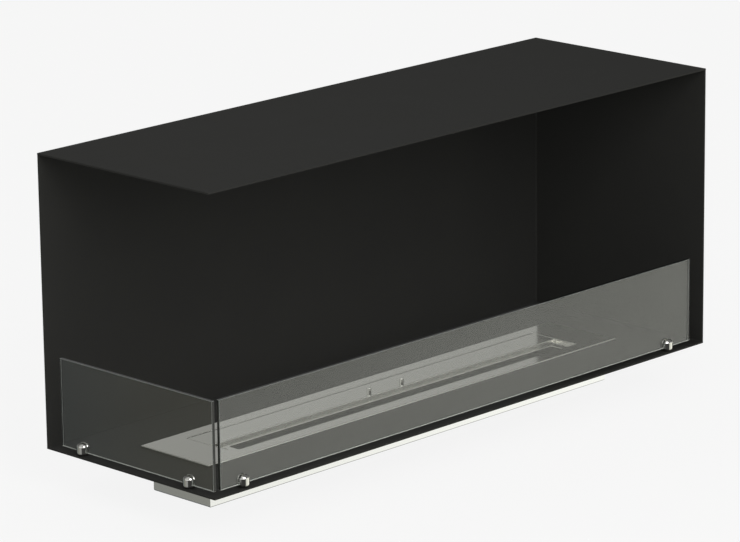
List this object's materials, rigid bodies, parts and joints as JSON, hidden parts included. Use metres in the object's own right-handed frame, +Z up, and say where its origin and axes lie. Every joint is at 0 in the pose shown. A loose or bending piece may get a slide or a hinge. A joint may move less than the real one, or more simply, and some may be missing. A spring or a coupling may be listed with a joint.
{
  "type": "bioethanol fireplace insert",
  "caption": "Black steel firebox open at the front and left, with low glass panes in round holders and a drop-in stainless burner with a sliding shutter.",
  "frame": {"origin": "centre of the burner cut-out, on the underside of the firebox floor", "axes": "+X right along the front, +Y back, +Z up"},
  "size_m": [1.2, 0.4, 0.5703],
  "materials": {
    "black_coat": "matt black heat-proof powder coat on steel sheet",
    "pane_glass": "clear toughened glass, ground edges",
    "burner_steel": "fine-brushed stainless sheet",
    "bright_steel": "turned and polished stainless bar",
    "zinc_steel": "plain stainless screws and pins",
    "soft_liner": "translucent soft liner",
    "ceramic_fibre": "white ceramic fibre felt"
  },
  "bodies": {
    "firebox": {"back_panel": "black_coat", "base_screws": "zinc_steel", "floor_panel": "black_coat", "front_pane": "pane_glass", "holder_front_left": "bright_steel", "holder_front_right": "bright_steel", "holder_side_front": "bright_steel", "holder_side_rear": "bright_steel", "liner_front_left": "soft_liner", "liner_front_right": "soft_liner", "liner_side_front": "soft_liner", "liner_side_rear": "soft_liner", "seam_welds": "black_coat", "side_pane": "pane_glass", "side_panel": "black_coat", "top_panel": "black_coat"},
    "burner": {"burner_casing": "burner_steel", "burner_flange": "burner_steel", "fibre_left": "ceramic_fibre", "fibre_middle": "ceramic_fibre", "fibre_right": "ceramic_fibre", "fibre_screen": "burner_steel", "fuel_tank": "burner_steel", "slot_deck": "burner_steel", "tank_supports": "burner_steel"},
    "shutter": {"guide_pins": "zinc_steel", "knob_left": "bright_steel", "knob_right": "bright_steel", "knob_screws": "zinc_steel", "shutter_plate": "burner_steel"}
  },
  "joints": [
    {"name": "burner_lift", "type": "slide", "parent": "firebox", "child": "burner", "axis": [0, 0, 1], "range_m": [0, 0.23]},
    {"name": "shutter_slide", "type": "slide", "parent": "burner", "child": "shutter", "axis": [0, -1, 0], "range_m": [0, 0.0495]}
  ]
}
